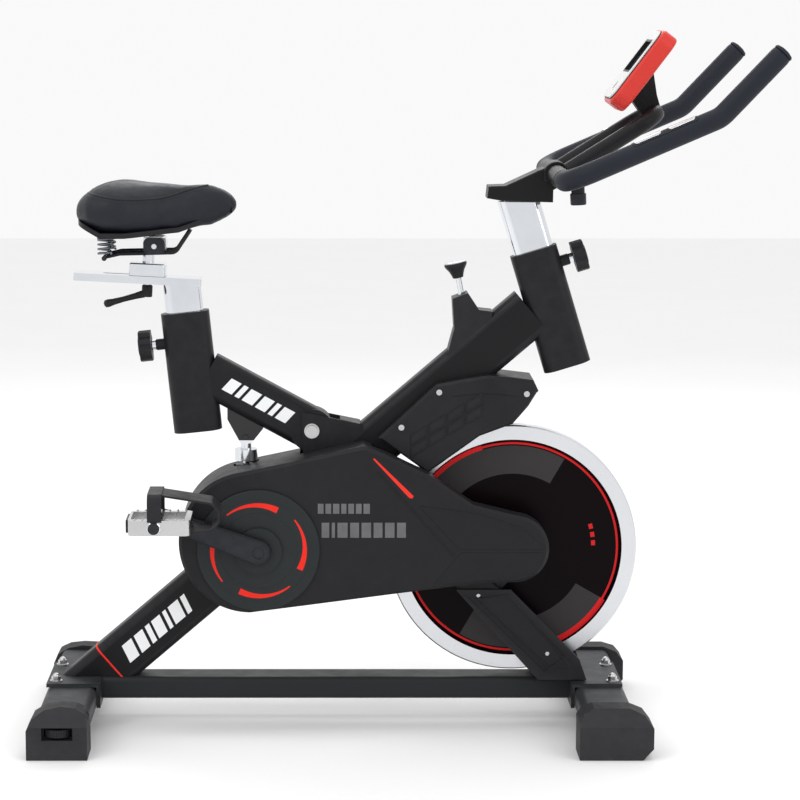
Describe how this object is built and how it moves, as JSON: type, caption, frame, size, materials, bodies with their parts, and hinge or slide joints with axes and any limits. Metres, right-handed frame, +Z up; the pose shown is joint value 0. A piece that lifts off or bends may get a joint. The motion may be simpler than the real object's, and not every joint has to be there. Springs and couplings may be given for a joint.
{
  "type": "indoor spin bike",
  "caption": "Indoor spin bike with a belt-driven flywheel, a sprung seat beam, a sliding saddle, a height-adjustable handlebar and a console.",
  "frame": {"origin": "on the floor, under the middle of the bike's bounding box", "axes": "+X forwards, +Y to the rider's left, +Z up"},
  "size_m": [1.1521, 0.48, 1.1103],
  "materials": {
    "frame_paint": "satin black powder coat",
    "black_plastic": "moulded black plastic",
    "cover_plastic": "fine textured charcoal plastic",
    "foot_plastic": "textured dark grey plastic",
    "chrome": "bright chrome plate",
    "dark_steel": "gloss black steel",
    "machined_steel": "machined steel",
    "flywheel_iron": "turned rim, painted web",
    "pulley_metal": "cast aluminium",
    "belt_rubber": "ribbed rubber",
    "brake_felt": "pressed wool felt",
    "saddle_cover": "stitched synthetic leather",
    "grip_foam": "foam sleeve",
    "console_red": "gloss red plastic",
    "console_glass": "dark display window"
  },
  "bodies": {
    "frame": {"main_tube": "frame_paint", "head_tube": "frame_paint", "head_sleeve": "black_plastic", "base_tube": "frame_paint", "stabilizers": "frame_paint", "stabilizer_bolts": "chrome", "rear_caps": "foot_plastic", "front_caps": "foot_plastic", "fork_legs": "frame_paint", "fork_covers": "black_plastic", "cover_screws": "chrome", "ball_bearings": "machined_steel", "belt_cover_right": "cover_plastic", "belt_cover_left": "cover_plastic", "fender": "cover_plastic", "brake_boot": "black_plastic", "beam_bracket": "frame_paint", "pivot_bolt": "chrome", "damper_base": "dark_steel", "belt": "belt_rubber"},
    "right_leveler": {"leveler_right": "black_plastic"},
    "left_leveler": {"leveler_left": "black_plastic"},
    "flywheel": {"flywheel": "flywheel_iron", "flywheel_axle": "machined_steel", "flywheel_pulley": "pulley_metal"},
    "crank_set": {"crank_axle": "machined_steel", "crank_pulley": "pulley_metal", "crank_right": "dark_steel", "crank_left": "dark_steel", "crank_disc": "cover_plastic", "pedal_spindles": "machined_steel"},
    "right_pedal": {"pedal_right": "black_plastic", "cage_right": "black_plastic"},
    "left_pedal": {"pedal_left": "black_plastic", "cage_left": "black_plastic"},
    "seat_beam": {"seat_beam": "frame_paint", "seat_sleeve": "frame_paint", "seat_bush": "black_plastic", "damper_head": "chrome"},
    "seat_knob": {"seat_knob": "black_plastic"},
    "seat_post": {"seat_post": "chrome", "seat_rail": "chrome"},
    "seat_slider": {"seat_slider": "chrome"},
    "seat_lever": {"seat_lever": "dark_steel"},
    "saddle": {"saddle_pad": "saddle_cover", "saddle_base": "black_plastic", "saddle_rails": "dark_steel", "saddle_springs": "dark_steel"},
    "handlebar": {"handlebar_post": "chrome", "stem": "frame_paint", "handle_right": "grip_foam", "handle_left": "grip_foam", "console_loop": "frame_paint", "console_housing": "console_red", "console_screen": "console_glass"},
    "head_knob": {"head_knob": "black_plastic"},
    "console_button": {"console_button": "console_red"},
    "brake": {"brake_rod": "dark_steel", "brake_pad": "brake_felt"},
    "brake_knob": {"brake_knob": "black_plastic"}
  },
  "joints": [
    {"name": "flywheel_spin", "type": "hinge", "parent": "frame", "child": "flywheel", "pos_m": [0.185, 0, 0.286], "axis": [0, 1, 0], "continuous": true},
    {"name": "crank_spin", "type": "hinge", "parent": "frame", "child": "crank_set", "pos_m": [-0.221, 0, 0.298], "axis": [0, 1, 0], "continuous": true},
    {"name": "right_pedal_spin", "type": "hinge", "parent": "crank_set", "child": "right_pedal", "pos_m": [-0.37836, 0, 0.35684], "axis": [0, 1, 0], "continuous": true},
    {"name": "left_pedal_spin", "type": "hinge", "parent": "crank_set", "child": "left_pedal", "pos_m": [-0.06364, 0, 0.23916], "axis": [0, 1, 0], "continuous": true},
    {"name": "seat_beam_spring", "type": "hinge", "parent": "frame", "child": "seat_beam", "pos_m": [-0.137, 0, 0.4785], "axis": [0, -1, 0], "range_deg": [0, 2], "stiffness_Nm_per_rad": 3000, "springref_deg": -0.86},
    {"name": "seat_height", "type": "slide", "parent": "seat_beam", "child": "seat_post", "axis": [-0.1045, 0, 0.9945], "range_m": [-0.03, 0.06]},
    {"name": "seat_knob_pull", "type": "slide", "parent": "seat_beam", "child": "seat_knob", "axis": [-0.9945, 0, -0.1045], "range_m": [0, 0.01], "stiffness_N_per_m": 800, "springref_m": -0.005},
    {"name": "seat_slide", "type": "slide", "parent": "seat_post", "child": "seat_slider", "axis": [0.9986, 0, -0.0523], "range_m": [-0.06, 0.008]},
    {"name": "seat_lever_turn", "type": "hinge", "parent": "seat_slider", "child": "seat_lever", "pos_m": [-0.39874, 0, 0.70153], "axis": [0.0523, 0, 0.9986], "range_deg": [0, 90]},
    {"name": "saddle_tilt", "type": "hinge", "parent": "seat_slider", "child": "saddle", "pos_m": [-0.385, 0, 0.774], "axis": [0, 1, 0], "range_deg": [-8, 8]},
    {"name": "handlebar_height", "type": "slide", "parent": "frame", "child": "handlebar", "axis": [-0.2924, 0, 0.9563], "range_m": [-0.05, 0.05]},
    {"name": "head_knob_pull", "type": "slide", "parent": "frame", "child": "head_knob", "axis": [0.9563, 0, 0.2924], "range_m": [0, 0.01], "stiffness_N_per_m": 800, "springref_m": -0.005},
    {"name": "brake_press", "type": "slide", "parent": "frame", "child": "brake", "axis": [0.2011, 0, -0.9796], "range_m": [0, 0.004], "stiffness_N_per_m": 5000, "springref_m": -0.003},
    {"name": "brake_turn", "type": "hinge", "parent": "brake", "child": "brake_knob", "pos_m": [0.09452, 0, 0.72681], "axis": [-0.2011, 0, 0.9796], "range_deg": [-360, 360]},
    {"name": "console_press", "type": "slide", "parent": "handlebar", "child": "console_button", "axis": [0.7986, 0, -0.6018], "range_m": [0, 0.0015], "stiffness_N_per_m": 500, "springref_m": -0.001},
    {"name": "right_leveler_turn", "type": "hinge", "parent": "frame", "child": "right_leveler", "pos_m": [-0.528, -0.2195, 0.041], "axis": [0, 0, 1], "continuous": true},
    {"name": "left_leveler_turn", "type": "hinge", "parent": "frame", "child": "left_leveler", "pos_m": [-0.528, 0.2195, 0.041], "axis": [0, 0, 1], "continuous": true}
  ],
  "couplings": [
    {"joint": "crank_spin", "follows": "flywheel_spin", "ratio": 0.29546}
  ]
}
